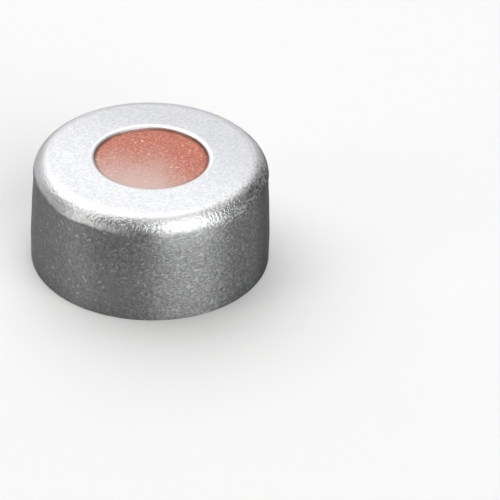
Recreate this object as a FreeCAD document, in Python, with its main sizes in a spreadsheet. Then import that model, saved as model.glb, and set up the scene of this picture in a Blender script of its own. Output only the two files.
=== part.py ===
import FreeCAD, Part
import math
import os
import sys

import Sketcher

# Crimp cap for a small glass vial, as it comes out of the bag, not yet crimped.
# A one-piece aluminium cap is deep drawn from sheet: a round top with a punched window,
# a rolled shoulder and a skirt that widens a little towards its trimmed rim. Under the
# top lies the septum, a red rubber disc with a thin slippery film bonded to the face
# that meets the glass.
# The origin is the middle of the rim, the cap stands on the rim and +Z points out of the top.

doc = FreeCAD.newDocument("crimp_cap")
sheet = doc.addObject("Spreadsheet::Sheet", "sizes")

# All driving sizes in millimetres, each written once.
drivingSizes = [
    ("rim_diameter", 11.7, "outside of the skirt at the rim"),
    ("skirt_taper", 0.21, "how far the skirt leans in on each side, carried up to the top's level"),
    ("cap_height", 5.5, "rim to top"),
    ("mouth_band", 1.2, "straight stretch of the skirt above the rim"),
    ("bend_radius", 4.0, "easy bend between the straight stretch and the leaning one"),
    ("sheet_gauge", 0.2, "thickness of the aluminium"),
    ("corner_radius", 0.9, "outside of the rolled shoulder"),
    ("window_diameter", 5.5, "punched hole in the top"),
    ("lip_radius", 0.1, "rounding that the punch leaves on the upper edge of the hole"),
    ("rim_break", 0.04, "rounding on both edges of the trimmed rim"),
    ("rubber_thickness", 0.9, "red rubber of the septum"),
    ("film_thickness", 0.1, "film bonded under the rubber"),
    ("septum_clearance", 0.02, "gap between the septum's side and the skirt"),
]
for row, (alias, number, meaning) in enumerate(drivingSizes, start=1):
    sheet.set(f"A{row}", meaning)
    sheet.set(f"B{row}", str(number))
    sheet.setAlias(f"B{row}", alias)
doc.recompute()

# Sizes that follow from the driving ones, as formulas on the sheet.
rimRadius = "sizes.rim_diameter / 2"
rimInside = f"{rimRadius} - sizes.sheet_gauge"
shoulderRadius = f"{rimRadius} - sizes.skirt_taper"
windowRadius = "sizes.window_diameter / 2"
skirtLean = "sizes.skirt_taper / (sizes.cap_height - sizes.mouth_band)"
wallInside = f"{shoulderRadius} + {skirtLean} * sizes.corner_radius - sizes.sheet_gauge"
septumRadius = f"{wallInside} - sizes.septum_clearance"
cornerInside = "sizes.corner_radius - sizes.sheet_gauge"
rubberEdge = f"min({cornerInside}; 0.9 * sizes.rubber_thickness)"
rubberUnder = "sizes.cap_height - sizes.sheet_gauge - sizes.rubber_thickness"
filmUnder = f"{rubberUnder} - sizes.film_thickness"


def worth(formula):
    """The formula's present value, in millimetres."""
    return float(sheet.evalExpression(formula.replace("sizes.", "")))


def newBody(nodeName):
    """An empty body whose label is the sub-part's name."""
    body = doc.addObject("PartDesign::Body", nodeName)
    body.Label = nodeName
    return body


def newSketch(body, name, role):
    """A sketch that lies on one of the body's own origin planes."""
    plane = next(feature for feature in body.Origin.OriginFeatures if feature.Role == role)
    sketch = body.newObject("Sketcher::SketchObject", name)
    sketch.AttachmentSupport = [(plane, "")]
    sketch.MapMode = "FlatFace"
    return sketch


def bindLength(sketch, name, formula, kind, *places):
    """A named dimension of the sketch, bound to the sheet."""
    index = sketch.addConstraint(Sketcher.Constraint(kind, *places, worth(formula)))
    sketch.renameConstraint(index, name)
    sketch.setExpression(f"Constraints.{name}", formula)


def circleSketch(body, name, formula):
    """A circle about the body's axis, its radius bound to the sheet."""
    sketch = newSketch(body, name, "XY_Plane")
    axis = FreeCAD.Vector(0, 0, 1)
    sketch.addGeometry(Part.Circle(FreeCAD.Vector(0, 0, 0), axis, worth(formula)), False)
    sketch.addConstraint(Sketcher.Constraint("Coincident", 0, 3, -1, 1))
    bindLength(sketch, "ring_radius", formula, "Radius", 0)
    return sketch


def ringEdges(feature, height, radius):
    """Names of the feature's full circles at this height and radius."""
    near = 1e-4
    names = []
    for number, edge in enumerate(feature.Shape.Edges, start=1):
        if not isinstance(edge.Curve, Part.Circle):
            continue
        if abs(edge.Curve.Center.z - height) < near and abs(edge.Curve.Radius - radius) < near:
            names.append(f"Edge{number}")
    if not names:
        sys.exit(f"{feature.Label} has no ring at height {height:.3f} and radius {radius:.3f}")
    return names


def roundRings(body, name, base, rings, formula):
    """A fillet on rings, given as (height, radius), with its own radius bound to the sheet."""
    fillet = body.newObject("PartDesign::Fillet", name)
    fillet.Base = (base, [edge for height, radius in rings for edge in ringEdges(base, height, radius)])
    fillet.setExpression("Radius", formula)
    doc.recompute()
    return fillet


def outlineSketch(body):
    """Half the section of the form: rim, straight skirt, easy bend, leaning skirt, top and axis."""
    sketch = newSketch(body, "half_section", "XZ_Plane")
    rimOut, band, bend = worth(rimRadius), worth("sizes.mouth_band"), worth("sizes.bend_radius")
    shoulderOut, top = worth(shoulderRadius), worth("sizes.cap_height")
    lean = math.atan(worth(skirtLean))
    middle = FreeCAD.Vector(rimOut - bend, band, 0)
    bendEnd = middle + FreeCAD.Vector(bend * math.cos(lean), bend * math.sin(lean), 0)
    foot, bandEnd = FreeCAD.Vector(rimOut, 0, 0), FreeCAD.Vector(rimOut, band, 0)
    shoulder, crown = FreeCAD.Vector(shoulderOut, top, 0), FreeCAD.Vector(0, top, 0)
    origin = FreeCAD.Vector(0, 0, 0)
    bendCircle = Part.Circle(middle, FreeCAD.Vector(0, 0, 1), bend)
    outline = [
        Part.LineSegment(origin, foot),
        Part.LineSegment(foot, bandEnd),
        Part.ArcOfCircle(bendCircle, 0, lean),
        Part.LineSegment(bendEnd, shoulder),
        Part.LineSegment(shoulder, crown),
        Part.LineSegment(crown, origin),
    ]
    rim, straight, arc, leaning, top, axis = [sketch.addGeometry(piece, False) for piece in outline]
    sketch.addConstraint(Sketcher.Constraint("Coincident", rim, 1, -1, 1))
    for before, after in ((rim, straight), (leaning, top), (top, axis), (axis, rim)):
        sketch.addConstraint(Sketcher.Constraint("Coincident", before, 2, after, 1))
    for before, after in ((straight, arc), (arc, leaning)):
        sketch.addConstraint(Sketcher.Constraint("Tangent", before, 2, after, 1))
    for line in (rim, top):
        sketch.addConstraint(Sketcher.Constraint("Horizontal", line))
    for line in (straight, axis):
        sketch.addConstraint(Sketcher.Constraint("Vertical", line))
    bindLength(sketch, "rim_radius", rimRadius, "DistanceX", rim, 1, rim, 2)
    bindLength(sketch, "mouth_band", "sizes.mouth_band", "DistanceY", straight, 1, straight, 2)
    bindLength(sketch, "bend_radius", "sizes.bend_radius", "Radius", arc)
    bindLength(sketch, "shoulder_radius", shoulderRadius, "DistanceX", top, 2, top, 1)
    bindLength(sketch, "cap_height", "sizes.cap_height", "DistanceY", axis, 2, axis, 1)
    return sketch


def makeShell():
    """The drawn cap: a solid form, rounded, hollowed to one gauge, then punched and trimmed."""
    body = newBody("cap_shell")
    sketch = outlineSketch(body)
    form = body.newObject("PartDesign::Revolution", "drawn_form")
    form.Profile = sketch
    form.ReferenceAxis = (sketch, ["V_Axis"])
    form.Angle = 360
    doc.recompute()

    top = worth("sizes.cap_height")
    shoulder = [(top, worth(shoulderRadius))]
    form = roundRings(body, "rolled_shoulder", form, shoulder, "sizes.corner_radius")

    mouth = next(f"Face{number}" for number, face in enumerate(form.Shape.Faces, start=1)
                 if abs(face.CenterOfMass.z) < 1e-4)
    hollow = body.newObject("PartDesign::Thickness", "one_gauge")
    hollow.Base = (form, [mouth])
    hollow.Mode = "Skin"
    hollow.Join = "Intersection"
    hollow.Reversed = True
    hollow.setExpression("Value", "sizes.sheet_gauge")
    doc.recompute()

    window = body.newObject("PartDesign::Pocket", "punched_window")
    window.Profile = circleSketch(body, "window_circle", windowRadius)
    window.Type = "ThroughAll"
    window.Reversed = True
    doc.recompute()
    punched = math.pi * worth(windowRadius) ** 2 * worth("sizes.sheet_gauge")
    if abs(hollow.Shape.Volume - window.Shape.Volume - punched) > 0.001 * punched:
        sys.exit("the window isn't cut through the top")

    lip = roundRings(body, "window_lip", window, [(top, worth(windowRadius))], "sizes.lip_radius")
    rim = [(0.0, worth(rimRadius)), (0.0, worth(rimInside))]
    roundRings(body, "trimmed_rim", lip, rim, "sizes.rim_break")
    return body


def makeDisc(nodeName, thickness, underside):
    """A round layer of the septum, at its height under the top."""
    body = newBody(nodeName)
    layer = body.newObject("PartDesign::Pad", f"{nodeName}_layer")
    layer.Profile = circleSketch(body, f"{nodeName}_circle", septumRadius)
    layer.setExpression("Length", thickness)
    body.setExpression("Placement.Base.z", underside)
    doc.recompute()
    return body, layer


def makeRubber():
    """The rubber seats on the underside of the top and follows the inside of the shoulder."""
    body, layer = makeDisc("septum_rubber", "sizes.rubber_thickness", rubberUnder)
    upperEdge = [(worth("sizes.rubber_thickness"), worth(septumRadius))]
    roundRings(body, "pressed_edge", layer, upperEdge, rubberEdge)
    return body


def makeFilm():
    """The film covers the rubber's whole lower face."""
    body, layer = makeDisc("septum_film", "sizes.film_thickness", filmUnder)
    return body


subParts = [makeShell(), makeRubber(), makeFilm()]
doc.recompute()

for thing in doc.Objects:
    if "Invalid" in thing.State or "Error" in thing.State:
        sys.exit(f"{thing.Label} failed: {thing.State}")

os.makedirs("parts", exist_ok=True)
for body in subParts:
    shape = body.Shape
    if shape.isNull() or not shape.isValid() or len(shape.Solids) != 1:
        sys.exit(f"{body.Label} isn't one valid solid")
    box = shape.optimalBoundingBox(False, False)
    size = f"{box.XLength:.3f} across, z {box.ZMin:.3f} to {box.ZMax:.3f}"
    print(f"{body.Label}: {shape.Volume:.3f} mm3, {size}")
    shape.exportStep(f"parts/{body.Label}.step")
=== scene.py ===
import math
from types import SimpleNamespace

import bmesh
import bpy
import numpy as np
from mathutils import Matrix, Vector


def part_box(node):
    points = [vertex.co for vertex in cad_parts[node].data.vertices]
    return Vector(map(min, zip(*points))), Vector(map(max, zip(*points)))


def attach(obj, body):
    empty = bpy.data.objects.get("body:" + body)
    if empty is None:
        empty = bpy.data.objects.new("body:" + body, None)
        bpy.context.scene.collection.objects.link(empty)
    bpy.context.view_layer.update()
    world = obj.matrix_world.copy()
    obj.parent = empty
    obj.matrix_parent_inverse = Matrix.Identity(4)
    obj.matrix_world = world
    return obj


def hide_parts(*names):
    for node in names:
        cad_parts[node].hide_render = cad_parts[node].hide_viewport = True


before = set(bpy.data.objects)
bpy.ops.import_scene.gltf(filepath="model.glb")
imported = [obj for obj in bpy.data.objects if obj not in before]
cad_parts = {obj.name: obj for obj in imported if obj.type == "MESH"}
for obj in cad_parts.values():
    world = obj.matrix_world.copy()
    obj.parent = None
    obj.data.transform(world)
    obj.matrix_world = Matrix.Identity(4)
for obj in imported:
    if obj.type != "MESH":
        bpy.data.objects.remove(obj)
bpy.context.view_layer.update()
mm = 0.001  # one millimetre in metres; the surfaces below are worked out in millimetres
print("frame loaded")


# Shader maths: a Wire is one socket, and an expression on wires adds its Math nodes.
class Wire:
    def __init__(self, paint, socket):
        self.paint, self.socket = paint, socket

    def maths(self, operation, first, second=0.0):
        return self.paint.node("ShaderNodeMath", {"operation": operation}, {0: first, 1: second})

    def __add__(self, other):
        return self.maths("ADD", self, other)

    def __radd__(self, other):
        return self.maths("ADD", other, self)

    def __sub__(self, other):
        return self.maths("SUBTRACT", self, other)

    def __rsub__(self, other):
        return self.maths("SUBTRACT", other, self)

    def __mul__(self, other):
        return self.maths("MULTIPLY", self, other)

    def __rmul__(self, other):
        return self.maths("MULTIPLY", other, self)

    def __abs__(self):
        return self.maths("ABSOLUTE", self)

    def ramp(self, low, high):  # 0 at low, 1 at high, eased at both ends; low may be the higher one
        return self.paint.node("ShaderNodeMapRange", {"interpolation_type": "SMOOTHSTEP"},
                               {"Value": self, "From Min": low, "From Max": high})


# One material. Every node in it comes from its method node.
class Finish:
    def __init__(self, name):
        self.material = bpy.data.materials.new(name)
        self.material.use_nodes = True
        self.tree = self.material.node_tree
        self.tree.nodes.clear()

    def node(self, kind, settings=None, inputs=None, output=0):
        made = self.tree.nodes.new(kind)
        for name, value in (settings or {}).items():
            setattr(made, name, value)
        for name, value in (inputs or {}).items():
            if isinstance(value, Wire):
                self.tree.links.new(value.socket, made.inputs[name])
            else:
                made.inputs[name].default_value = value
        return Wire(self, made.outputs[output]) if len(made.outputs) else made

    def vectors(self, operation, inputs, output=0):
        return self.node("ShaderNodeVectorMath", {"operation": operation}, inputs, output)

    def place(self):  # object coordinates in millimetres
        coordinates = self.node("ShaderNodeTexCoord", output="Object")
        return self.vectors("SCALE", {0: coordinates, "Scale": 1 / mm})

    def stretch(self, vector, sizes):  # the vector, each axis multiplied by its own number
        return self.vectors("MULTIPLY", {0: vector, 1: sizes})

    def along(self, vector, direction):  # how far the vector reaches in a direction
        return self.vectors("DOT_PRODUCT", {0: vector, 1: direction}, "Value")

    def fromAxis(self, place):  # distance from the Z axis
        return self.vectors("LENGTH", {0: self.stretch(place, (1, 1, 0))}, "Value")

    def facing(self, outward, side, wide, narrow):
        # 1 within narrow degrees of a side of the piece, 0 past wide, and the side is given in
        # degrees from -Y towards +X
        turn = math.radians(side)
        share = self.along(outward, (math.sin(turn), -math.cos(turn), 0.0))
        return share.ramp(math.cos(math.radians(wide)), math.cos(math.radians(narrow)))

    def noise(self, vector, scale, detail=2.0, roughness=0.5, offset=0.0):
        moved = self.vectors("ADD", {0: vector, 1: (offset,) * 3})
        return self.node("ShaderNodeTexNoise", {"noise_dimensions": "3D"},
                         {"Vector": moved, "Scale": scale, "Detail": detail, "Roughness": roughness})

    def mix(self, factor, first, second):  # two colours
        return self.node("ShaderNodeMix", {"data_type": "RGBA"}, {0: factor, 6: first, 7: second}, 2)

    def bump(self, height, strength=1.0, distance=1.0):
        return self.node("ShaderNodeBump", None,
                         {"Height": height, "Strength": strength, "Distance": distance})

    def shader(self, inputs):
        return self.node("ShaderNodeBsdfPrincipled", None, inputs)

    def finish(self, shader):
        self.node("ShaderNodeOutputMaterial", None, {"Surface": shader})
        return self.material


def rgb(red, green, blue):  # a colour as a screen shows it, 0 to 255, as the linear one that shaders take
    def linear(level):
        level /= 255
        return level / 12.92 if level <= 0.04045 else ((level + 0.055) / 1.055) ** 2.4
    return (linear(red), linear(green), linear(blue), 1.0)


# Surfaces of revolution.
def lineBetween(start, end, count):
    # points evenly spaced from start to end, the end left out
    share = np.linspace(0, 1, count, endpoint=False)[:, None]
    return (1 - share) * np.array(start) + share * np.array(end)


def arcAbout(centre, radii, startAngle, endAngle, count):
    # centre plus (radii[0] cos a, radii[1] sin a) for a from start to end in degrees, the end left out
    angle = np.radians(np.linspace(startAngle, endAngle, count, endpoint=False))
    return np.array(centre) + np.column_stack([radii[0] * np.cos(angle), radii[1] * np.sin(angle)])


def turnedPiece(name, profile, steps, closed, shift=None):
    # Each point of the grid is (r cos a, r sin a, z), for the profile's points (r, z) and steps
    # angles a round the Z axis, with shift(a, r, z) added to r and z. A closed profile is a ring
    # round a wall. An open one starts and ends on the axis, and closes there in a single point.
    angle = np.linspace(0, 2 * np.pi, steps, endpoint=False)[None, :]
    radius, height = profile[:, 0][:, None], profile[:, 1][:, None]
    radius, height, angle = np.broadcast_arrays(radius, height, angle)
    if shift:
        outward, upward = shift(angle, radius, height)
        radius, height = radius + outward, height + upward
    grid = np.stack([radius * np.cos(angle), radius * np.sin(angle), height], axis=-1) * mm
    rows = len(profile)
    rowOf, stepOf = np.meshgrid(np.arange(rows if closed else rows - 1), np.arange(steps), indexing="ij")
    nextRow, nextStep = (rowOf + 1) % rows, (stepOf + 1) % steps
    corners = [rowOf * steps + stepOf, rowOf * steps + nextStep,
               nextRow * steps + nextStep, nextRow * steps + stepOf]
    quads = np.stack(corners, axis=-1).reshape(-1, 4)
    mesh = bpy.data.meshes.new(name)
    mesh.from_pydata(grid.reshape(-1, 3).tolist(), [], quads.tolist())
    if not closed:
        closePoles(mesh)
    sharpAngle = 50  # degrees
    mesh.shade_smooth()
    mesh.set_sharp_from_angle(angle=math.radians(sharpAngle))
    piece = bpy.data.objects.new(name, mesh)
    bpy.context.scene.collection.objects.link(piece)
    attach(piece, "root")
    return piece


def closePoles(mesh):
    # the first and the last ring lie on the axis, so each becomes one point
    work = bmesh.new()
    work.from_mesh(mesh)
    bmesh.ops.remove_doubles(work, verts=work.verts, dist=1e-9)
    work.to_mesh(mesh)
    work.free()


# The camera stands where the photograph was taken from.
view = {
    "elevation": 34.44,  # degrees above the table
    "roll": 2.37,  # degrees
    "distance": 116.8,  # millimetres from the middle of the rim, along the view
    "across": 4.92,  # how far the view's middle passes to the right of the cap
    "above": 0.04,
    "lens": 170.5,
    "sensor": 36,  # millimetres wide
    "nearest": 0.005,  # metres
    "farthest": 10,
}


def makeCamera():
    tilt, roll = math.radians(view["elevation"]), math.radians(view["roll"])
    right, back = Vector((1, 0, 0)), Vector((0, -math.cos(tilt), math.sin(tilt)))
    up = back.cross(right)
    side = right * math.cos(roll) + up * math.sin(roll)
    top = up * math.cos(roll) - right * math.sin(roll)
    spot = (side * view["across"] + top * view["above"] + back * view["distance"]) * mm
    turn = Matrix((side, top, back)).transposed().to_4x4()
    lens = bpy.data.cameras.new("camera")
    lens.lens, lens.sensor_width = view["lens"], view["sensor"]
    lens.clip_start, lens.clip_end = view["nearest"], view["farthest"]
    camera = bpy.data.objects.new("camera", lens)
    camera.matrix_world = Matrix.Translation(spot) @ turn
    bpy.context.scene.collection.objects.link(camera)
    bpy.context.scene.camera = camera
    print("camera placed")


# The drawn aluminium cap.
shellForm = {
    "gauge": 0.2,  # all lengths in millimetres
    "taper": 0.21,
    "mouthBand": 1.2,
    "bendRadius": 4.0,
    "cornerRadius": 0.9,
    "windowRadius": 2.75,
    "lipWidth": 0.26,  # how far the punch has rolled the edge of the window in
    "lipDrop": 0.1,
    "rimBreak": 0.04,
    "waver": 0.012,  # how far the skirt strays from a true round
    "creaseTop": 4.68,  # height at which the outside steps in under the shoulder
    "creaseWidth": 0.08,
    "creaseDepth": 0.028,
    "creaseEnd": 3.0,  # height at which it is out again
    "creaseWander": (0.012, 0.008),  # how far its edge strays up and down, in 9 and in 23 waves
    "plainSide": 20,  # where the crease fades, in degrees from -Y towards +X
    "plainWithin": 42,  # degrees from that side
    "plainBlend": 16,
    "plainShare": 0.15,  # how much of the crease is left there
    "steps": 512,  # round the axis
}
shellRows = {  # points along each stretch of the section
    "rimEdge": 5, "band": 10, "outerBend": 6, "skirt": 18, "crease": 13, "outerCorner": 44, "top": 16,
    "lip": 12, "wall": 3, "under": 8, "innerCorner": 16, "innerSkirt": 12, "innerBend": 4,
    "innerBand": 5, "rimFace": 2,
}


def shellProfile(rimRadius, top):
    # Up the outside from the rim, in over the top, down the window's wall, out along the
    # underside and down the inside, so that the faces point out of the metal.
    form, rows = shellForm, shellRows
    gauge, corner, bend, edge = form["gauge"], form["cornerRadius"], form["bendRadius"], form["rimBreak"]
    band, window, inside = form["mouthBand"], form["windowRadius"], rimRadius - gauge
    slope = form["taper"] / (top - band)
    tilt = math.atan(slope)
    lean = math.degrees(tilt)
    cornerMiddle = (rimRadius - form["taper"] + slope * corner - corner / math.cos(tilt), top - corner)
    bendMiddle = (rimRadius - bend, band)
    outerCorner = arcAbout(cornerMiddle, (corner, corner), lean, 90, rows["outerCorner"])
    innerCorner = arcAbout(cornerMiddle, (corner - gauge, corner - gauge), 90, lean, rows["innerCorner"])
    outerBend = arcAbout(bendMiddle, (bend, bend), 0, lean, rows["outerBend"])
    innerBend = arcAbout(bendMiddle, (bend - gauge, bend - gauge), lean, 0, rows["innerBend"])
    bendEnd = np.array(bendMiddle) + bend * np.array([math.cos(tilt), math.sin(tilt)])
    creaseFoot = 0.1 * bendEnd + 0.9 * outerCorner[0]  # the rows are closer above it
    lip = (form["lipWidth"], form["lipDrop"])
    lipEnd, lipFoot, under = window + lip[0], top - lip[1], top - gauge
    pieces = [
        arcAbout((rimRadius - edge, edge), (edge, edge), -90, 0, rows["rimEdge"]),
        lineBetween((rimRadius, edge), (rimRadius, band), rows["band"]),
        outerBend,
        lineBetween(bendEnd, creaseFoot, rows["skirt"]),
        lineBetween(creaseFoot, outerCorner[0], rows["crease"]),
        outerCorner,
        lineBetween((cornerMiddle[0], top), (lipEnd, top), rows["top"]),
        arcAbout((lipEnd, lipFoot), lip, 90, 180, rows["lip"]),
        lineBetween((window, lipFoot), (window, under), rows["wall"]),
        lineBetween((window, under), (cornerMiddle[0], under), rows["under"]),
        innerCorner,
        lineBetween(innerCorner[-1], innerBend[0], rows["innerSkirt"])[1:],
        innerBend,
        lineBetween((inside, band), (inside, edge), rows["innerBand"]),
        arcAbout((inside + edge, edge), (edge, edge), 180, 270, rows["rimEdge"]),
        lineBetween((inside + edge, 0), (rimRadius - edge, 0), rows["rimFace"]),
    ]
    return np.vstack(pieces)


def eased(share):  # 0 below 0, 1 above 1, eased at both ends
    share = np.clip(share, 0, 1)
    return share * share * (3 - 2 * share)


def shellStray(rimRadius, top):
    # A drawn skirt is never quite round: low waves round the axis that grow from the shoulder
    # to the rim, none of them taking it past its true outside. Under the shoulder the outside
    # steps in where the ironed skirt starts, by depth times step(z) times back(z), and hardly
    # at all on its plain side.
    form = shellForm
    slope = form["taper"] / (top - form["mouthBand"])
    low, quick = form["creaseWander"]

    def shift(angle, radius, height):
        down = np.clip((top - height) / top, 0, 1) ** 1.5
        waves = 0.5 * np.cos(2 * angle + 0.6) + 0.3 * np.cos(3 * angle + 2.1) + 0.2 * np.cos(5 * angle + 4.0)
        wide = (radius > form["windowRadius"] + 1) * down
        level = height + low * np.sin(9 * angle) + quick * np.sin(23 * angle + 1)
        step = eased((form["creaseTop"] - level) / form["creaseWidth"])
        back = eased((height - form["creaseEnd"]) / (form["creaseTop"] - form["creaseEnd"]))
        turn = np.degrees(angle) + 90 - form["plainSide"]
        aside = np.abs((turn + 180) % 360 - 180)  # degrees from the plain side
        plain = form["plainShare"]
        share = plain + (1 - plain) * eased((aside - form["plainWithin"]) / form["plainBlend"])
        middle = rimRadius - slope * np.clip(height - form["mouthBand"], 0, None) - form["gauge"] / 2
        crease = form["creaseDepth"] * step * back * share * (radius > middle)
        return form["waver"] * (waves - 1) * wide - crease, np.zeros_like(radius)
    return shift


def makeShell():
    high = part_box("cap_shell")[1]
    rimRadius, top = high.x / mm, high.z / mm
    shift = shellStray(rimRadius, top)
    piece = turnedPiece("drawn_cap", shellProfile(rimRadius, top), shellForm["steps"], True, shift)
    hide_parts("cap_shell")
    piece.data.materials.append(aluminiumFinish())
    print("cap made")


aluminium = {
    # the darker and the lighter grains of the top, of the shoulder where the sheet is rolled
    # over, and of the skirt where the die has dulled it, its colour also darkened as painted shade
    "flat": ((0.552, 0.56, 0.582, 1.0), (0.721, 0.721, 0.727, 1.0)),
    "shoulder": ((0.61, 0.615, 0.63, 1.0), (0.73, 0.73, 0.73, 1.0)),
    "skirt": ((0.1, 0.102, 0.106, 1.0), (0.39, 0.392, 0.394, 1.0)),
    "grazing": (0.45, 0.45, 0.45, 1.0),  # tint of the reflection at a low angle
    "topShade": 0.167,  # painted shade: how much darker the top gets towards one side
    "shadeTowards": (0.5, 0.866, 0.0),
    "edge": (4.5, 5.05),  # heights between which the dull skirt turns into the smooth shoulder
    "grain": 7.5,  # grains in a millimetre
    "patch": 1.4,  # larger blotches in a millimetre
    "lyingGrain": (4.0, 4.0, 10.0),
    "scratches": 2.2,
    "scratchWidth": 0.012,
    "glints": 6.0,
    "marksRound": 50,  # marks in a radian round the shoulder
    "marksDown": (-4.0, 2.0),  # how they slant and how soon they end, in a millimetre of height
    "drawnRoughness": 0.41,
    "drawnAnisotropy": 0.86,
    "rolledRoughness": 0.48,
    "drawnDepth": 0.012 * mm,
    "lyingDepth": 0.045 * mm,
    "rolledDepth": 0.009 * mm,
    "dentDepth": 0.012 * mm,
    "markDepth": 0.025 * mm,
}

# Stretches round the cap: some change the grain and marks of the finish, and some paint shade
# and a highlight into its colour, as noted. Each has its middle, in degrees from -Y towards +X,
# and how many degrees from there it has gone and is still at its full.
stretches = {
    "calm": (32, 42, 18),  # few marks on the shoulder
    "satin": (-46, 33, 14),  # few marks and a soft grain
    "bitten": (-15, 25, 9),  # many marks
    "rough": (62, 42, 20),  # a crinkled shoulder, and dark flecks at the edge of the top
    "crisp": (-34, 26, 8),  # a sharp line where the smooth shoulder ends
    "shaded": (-66, 32, 14),  # painted shade: a grey band along the shoulder
    "rubbed": (92, 42, 20),  # painted shade: the dark skirt colour reaches higher
    "polished": (22, 24, 8),  # a painted highlight: a bright stripe down the skirt
    "even": (-52, 66, 32),  # a finer grain on the skirt
    "soft": (-60, 60, 20),  # a slightly darker skirt
    "hollow": (-12, 26, 8),  # painted shade: a darker patch high on the skirt
    "flank": (95, 35, 18),  # the quietest part of the skirt, and the darkest by painted shade
    "windowSide": (100, 60, 25),  # painted shade: a darker wall of the window
}

# Heights in millimetres at which a thing is gone and at which it is at its full.
bands = {
    "marksBelow": (4.2, 4.75),
    "marksAbove": (5.4, 5.1),
    "stripe": (3.6, 4.7),
    "shadedAbove": (5.05, 4.8),
    "shadedBelow": (4.5, 4.7),
    "hollow": (1.8, 3.8),
    "calmGrain": (4.4, 4.9),
    "coarseGrain": (4.65, 4.95),
    "glossier": (4.7, 5.1),
    "rolled": (5.3, 5.49),
    "topOnly": (5.47, 5.495),
    "belowTop": (5.5, 5.47),
}

# The same for distances from the axis.
rings = {
    "windowWallShade": (2.83, 2.75),
    "topGrain": (2.92, 3.0),
    "outerTop": (4.0, 4.4),
}


def surveyAluminium(paint):
    # where a point lies, the patterns there, and how far it is in each stretch
    place = paint.place()
    here = SimpleNamespace(place=place, radius=paint.fromAxis(place))
    here.height = paint.node("ShaderNodeSeparateXYZ", None, {"Vector": place}, "Z")
    here.outward = paint.vectors("NORMALIZE", {0: paint.stretch(place, (1, 1, 0))})
    here.fine = paint.noise(place, aluminium["grain"], 3.0, 0.6)
    here.patch = paint.noise(place, aluminium["patch"], 3.0, 0.6, 7.0)
    here.lying = paint.noise(paint.stretch(place, aluminium["lyingGrain"]), 1.0, 3.0, 0.6, 9.0)
    here.grain = here.fine.ramp(0.25, 0.75)
    for name, span in stretches.items():
        setattr(here, name, paint.facing(here.outward, *span))
    here.band = {name: here.height.ramp(*heights) for name, heights in bands.items()}
    here.ring = {name: here.radius.ramp(*radii) for name, radii in rings.items()}
    return here


def drawnColour(paint, here):
    # the dull skirt, darkened as painted shade, and the smooth shoulder, which meet in an uneven line
    band, fine, patch = here.band, here.fine, here.patch
    low, high = aluminium["edge"]
    edge = here.height + 0.6 * (patch - 0.5) * (1 - 0.6 * here.satin)
    edge = edge + (0.1 + 1.6 * here.rough) * (fine - 0.5)
    # painted shade: on one side the dark skirt colour reaches higher
    edge = edge - 0.4 * here.rubbed - 0.1 * here.bitten - 0.1 * here.calm
    smooth = edge.ramp(low + 0.07 * here.crisp, high - 0.32 * here.crisp)
    # painted highlight: a bright stripe down the skirt
    smooth = smooth + here.polished * (0.1 + 0.25 * band["stripe"])
    # painted shade: a grey band along the shoulder
    smooth = smooth - 0.4 * here.shaded * band["shadedAbove"] * band["shadedBelow"]
    # thin curved scratches, where a noise crosses its middle, and single grains lightened as painted glints
    curve = paint.noise(here.place, aluminium["scratches"], 1.0, 0.5, 21.0)
    scratch = abs(curve - 0.5).ramp(aluminium["scratchWidth"], 0.0) * patch.ramp(0.4, 0.6)
    glint = paint.noise(here.place, aluminium["glints"], 0.0, 0.5, 31.0).ramp(0.7, 0.78)
    spots = 0.65 * (here.grain - 0.5) + 0.3 * scratch + 0.9 * glint
    scuffedAndShaded = 0.5 + spots * (1 - 0.4 * here.even - 0.6 * here.flank)
    # painted shade: the skirt gets darker at its flank and in a patch high on it
    scuffedAndShaded = scuffedAndShaded - 0.07 * here.soft - 0.32 * here.flank - 0.12 * band["hollow"] * here.hollow
    skirt = paint.mix(scuffedAndShaded, *aluminium["skirt"])
    return paint.mix(smooth, skirt, paint.mix(here.grain, *aluminium["shoulder"]))


def drawnRelief(paint, here, dents):
    # short slanting marks over the shoulder, where the sheet was drawn over the die
    band, slant, end = here.band, *aluminium["marksDown"]
    down = paint.node("ShaderNodeCombineXYZ", None, {"X": slant * here.height, "Z": end * here.height})
    around = paint.stretch(here.outward, (aluminium["marksRound"], aluminium["marksRound"], 0))
    streak = paint.noise(paint.vectors("ADD", {0: around, 1: down}), 1.0, 2.0, 0.5, 3.0)
    marked = here.patch.ramp(0.35, 0.65) * (1 - 0.75 * (here.calm + here.satin)) + 0.8 * here.bitten
    marks = aluminium["markDepth"] * (streak - 0.5) * band["marksBelow"] * band["marksAbove"] * marked
    # the skirt's lying grain, and the sheet's own
    quiet = (0.5 * here.calm - 0.1 * here.satin) * band["calmGrain"]
    lying = aluminium["lyingDepth"] * (here.lying - 0.5) * (1.08 - 0.38 * here.even - quiet)
    strength = 1.05 - 0.3 * here.even + (0.8 + 1.6 * here.rough) * band["coarseGrain"]
    drawn = aluminium["drawnDepth"] * strength * (here.fine - 0.5)
    return drawn + lying + dents * (1 - 0.6 * here.satin) + marks


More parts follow.
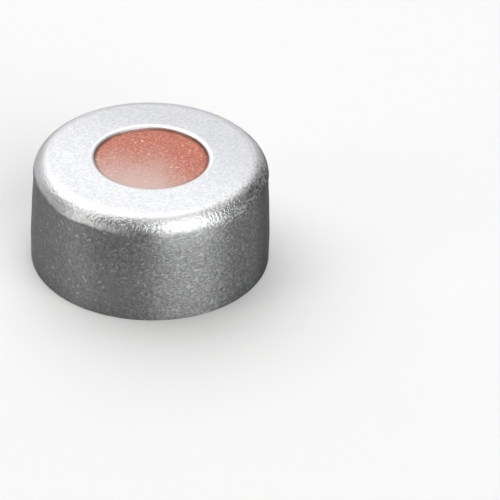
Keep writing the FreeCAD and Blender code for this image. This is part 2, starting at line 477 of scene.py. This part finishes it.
def aluminiumFinish():
    paint = Finish("drawn_aluminium")
    here = surveyAluminium(paint)
    band, ring, dull = here.band, here.ring, aluminium["skirt"][1]
    dents = aluminium["dentDepth"] * here.patch
    # painted shade: the window's wall is darkened towards the skirt's lighter colour, more on one side
    wall = (0.15 + 0.5 * here.windowSide) * ring["windowWallShade"]
    drawn = paint.shader({
        "Base Color": paint.mix(wall, drawnColour(paint, here), dull),
        "Metallic": 1.0,
        "Roughness": aluminium["drawnRoughness"] + 0.1 * (here.patch - 0.5) - 0.09 * band["glossier"],
        "Anisotropic": aluminium["drawnAnisotropy"],
        "Specular Tint": aluminium["grazing"],
        "Anisotropic Rotation": 0.25,
        "Normal": paint.bump(drawnRelief(paint, here, dents)),
    })
    # the top gets a little darker towards one side as painted shade, and its rough stretch is flecked at the
    # edge
    aside = paint.along(here.place, aluminium["shadeTowards"])
    shade = 1 - aluminium["topShade"] * aside.ramp(-2.5, 4.0)
    topGrain = paint.mix(here.grain + 0.9 * (here.lying - 0.5), *aluminium["flat"])
    top = paint.vectors("SCALE", {0: topGrain, "Scale": shade})
    # where the sheet rolls over, at the window's lip and the top's edge, it keeps the lightest shoulder
    # colour, which also paints a highlight on the lip
    top = paint.mix(ring["topGrain"] * band["topOnly"], aluminium["shoulder"][1], top)
    fleck = 0.8 * here.rough * here.fine.ramp(0.54, 0.38) * band["belowTop"] * ring["outerTop"]
    rolled = paint.shader({
        # the window's wall keeps its painted shade here too
        "Base Color": paint.mix(fleck + wall, top, dull),
        "Metallic": 1.0,
        "Roughness": aluminium["rolledRoughness"] + 0.1 * (here.patch - 0.5),
        "Specular Tint": aluminium["grazing"],
        "Normal": paint.bump(aluminium["rolledDepth"] * here.fine + dents),
    })
    return paint.finish(paint.node("ShaderNodeMixShader", None, {0: band["rolled"], 1: drawn, 2: rolled}))


# The septum: red rubber above, film below.
septumForm = {
    "crown": 0.09,  # how far the rubber swells up into the window, in millimetres
    "crownRadius": 2.75,
    "crownPower": 5.0,
    "steps": 256,  # round the axis
    "underRings": 12,  # rows of points on the lower face
    "sideRings": 3,
    "edgeRings": 12,
    "rubberRings": 60,  # and on the upper face
    "filmRings": 20,
}


def discProfile(radius, low, high, edge, rings):
    # Out along the lower face, up the side, round the upper edge and in along the upper face.
    form = septumForm
    edgeRings = form["edgeRings"] if edge else 1  # a square edge is a single point
    pieces = [
        lineBetween((0, low), (radius, low), form["underRings"]),
        lineBetween((radius, low), (radius, high - edge), form["sideRings"]),
        arcAbout((radius - edge, high - edge), (edge, edge), 0, 90, edgeRings),
        lineBetween((radius - edge, high), (0, high), rings),
        np.array([[0, high]]),
    ]
    return np.vstack(pieces)


def rubberCrown(top):
    # The disc swells into the window by crown (1 - (r / window)^power), and not at all outside it.
    def shift(angle, radius, height):
        share = np.clip(radius / septumForm["crownRadius"], 0, 1)
        upper = height > top - 1e-4
        swell = septumForm["crown"] * (1 - share ** septumForm["crownPower"]) * upper
        return np.zeros_like(radius), swell
    return shift


def makeRubber():
    low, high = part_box("septum_rubber")
    top = high.z / mm
    edge = shellForm["cornerRadius"] - shellForm["gauge"]  # it follows the inside of the shoulder
    profile = discProfile(high.x / mm, low.z / mm, top, edge, septumForm["rubberRings"])
    piece = turnedPiece("rubber_disc", profile, septumForm["steps"], False, rubberCrown(top))
    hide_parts("septum_rubber")
    piece.data.materials.append(rubberFinish())
    print("rubber made")


def makeFilm():
    low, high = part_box("septum_film")
    profile = discProfile(high.x / mm, low.z / mm, high.z / mm, 0.0, septumForm["filmRings"])
    piece = turnedPiece("film_disc", profile, septumForm["steps"], False)
    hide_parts("septum_film")
    piece.data.materials.append(filmFinish())
    print("film made")


rubber = {
    "colour": rgb(220, 138, 112),
    "dark": rgb(175, 98, 78),
    "grooveShade": rgb(96, 60, 56),  # painted shade where the rubber meets the window's edge
    "grooveShadeRing": (2.56, 2.7),  # distances from the axis where that painted shade starts and is at its full
    "powderAndSheen": rgb(206, 176, 168),  # the fine powder that the rubber carries, with a painted sheen in it
    "powderAndSheenReach": (-1.7, 2.9),  # the same for the powder and its painted sheen, measured towards -Y
    "speck": rgb(238, 200, 180),
    "roughness": 0.6,
    "grain": 6.5,  # grains in a millimetre
    "cloud": 0.9,
    "relief": 0.008 * mm,
}


def rubberFinish():
    paint = Finish("red_rubber")
    place = paint.place()
    fine = paint.noise(place, rubber["grain"], 3.0, 0.6)
    broad = paint.noise(place, rubber["cloud"], 2.0, 0.5, 5.0)
    grit = paint.noise(place, rubber["grain"], 1.0, 0.5, 11.0)
    # the powder and its painted sheen lie towards -Y and leave the +X side, their edge broken up by the
    # noises
    right = paint.along(place, (1.0, 0.0, 0.0)).ramp(0.2, 2.4)
    near = paint.along(place, (0.0, -1.0, 0.0)) - 1.8 * right + 1.6 * (broad - 0.5) + 1.4 * (fine - 0.5)
    far = paint.along(place, (-0.3, 0.95, 0.0)).ramp(1.0, 2.5)
    # painted shade where the rubber meets the window's edge, less on the far side
    grooveShade = paint.fromAxis(place).ramp(*rubber["grooveShadeRing"]) * (0.55 - 0.45 * far)
    colour = paint.mix(fine.ramp(0.4, 0.75), rubber["dark"], rubber["colour"])
    colour = paint.mix(near.ramp(*rubber["powderAndSheenReach"]), colour, rubber["powderAndSheen"])
    colour = paint.mix(grooveShade, colour, rubber["grooveShade"])
    colour = paint.mix(grit.ramp(0.68, 0.76) * 0.8, colour, rubber["speck"])
    return paint.finish(paint.shader({
        "Base Color": colour,
        "Roughness": rubber["roughness"],
        "Normal": paint.bump(fine + grit, 1.0, rubber["relief"]),
    }))


film = {
    "colour": rgb(188, 92, 62),
    "light": rgb(200, 104, 74),
    "roughness": 0.14,
    "gloss": 0.6,
    "glossRoughness": 0.05,
    "cloud": 0.8,
    "relief": 0.05 * mm,
    "reliefStrength": 0.3,
}


def filmFinish():
    paint = Finish("thin_film")
    broad = paint.noise(paint.place(), film["cloud"])
    return paint.finish(paint.shader({
        "Base Color": paint.mix(broad.ramp(0.3, 0.7), film["colour"], film["light"]),
        "Roughness": film["roughness"],
        "Coat Weight": film["gloss"],
        "Coat Roughness": film["glossRoughness"],
        "Normal": paint.bump(broad, film["reliefStrength"], film["relief"]),
    }))


# The floor and the studio light. Radiance 1 shows a white surface as white.
studio = {
    "floor": 0.86,
    "floorRoughness": 0.9,
    "floorHalf": 1.0,  # metres from the middle to each side
    "world": 0.05,
    "distance": 0.3,  # metres from the middle of the rim to each lamp
    "boxes": {  # degrees from -Y towards +X and degrees above the floor, width and height in metres
        "back": {"from": (-165, 19), "size": (0.6, 0.19), "radiance": 0.77, "tint": (0.955, 0.948, 1)},
        "over": {"from": (-147.2, 61.9), "size": (0.48, 0.341), "radiance": 2.0, "tint": (1, 1, 1)},
        "left": {"from": (-63, 17.8), "size": (0.086, 0.228), "radiance": 2.0, "tint": (1, 0.97, 0.9)},
        "right": {"from": (39, 31), "size": (0.3, 0.36), "radiance": 2.4, "tint": (0.99, 1, 0.98)},
    },
}


def makeFloor():
    half, pale = studio["floorHalf"], studio["floor"]
    mesh = bpy.data.meshes.new("floor")
    corners = [(-half, -half, 0), (half, -half, 0), (half, half, 0), (-half, half, 0)]
    mesh.from_pydata(corners, [], [(0, 1, 2, 3)])
    floor = bpy.data.objects.new("floor", mesh)
    bpy.context.scene.collection.objects.link(floor)
    paint = Finish("floor")
    shader = paint.shader({"Base Color": (pale, pale, pale, 1), "Roughness": studio["floorRoughness"]})
    mesh.materials.append(paint.finish(shader))


def softBox(name, spec):
    lamp = bpy.data.lights.new(name, "AREA")
    lamp.shape = "RECTANGLE"
    lamp.size, lamp.size_y = spec["size"]
    lamp.energy = spec["radiance"] * math.pi * lamp.size * lamp.size_y
    lamp.color = spec["tint"]
    box = bpy.data.objects.new(name, lamp)
    around, upward = map(math.radians, spec["from"])
    flat = Vector((math.sin(around), -math.cos(around), 0)) * math.cos(upward)
    start = (flat + Vector((0, 0, math.sin(upward)))) * studio["distance"]
    box.matrix_world = Matrix.Translation(start) @ start.to_track_quat("Z", "Y").to_matrix().to_4x4()
    box.visible_camera = False
    bpy.context.scene.collection.objects.link(box)


def makeStudio():
    makeFloor()
    for name, spec in studio["boxes"].items():
        softBox(f"{name}_box", spec)
    world = bpy.data.worlds.new("studio")
    world.use_nodes = True
    level = studio["world"]
    world.node_tree.nodes["Background"].inputs["Color"].default_value = (level, level, level, 1)
    bpy.context.scene.world = world
    bpy.context.scene.view_settings.view_transform = "Standard"
    print("studio lit")


makeCamera()
makeShell()
makeRubber()
makeFilm()
makeStudio()
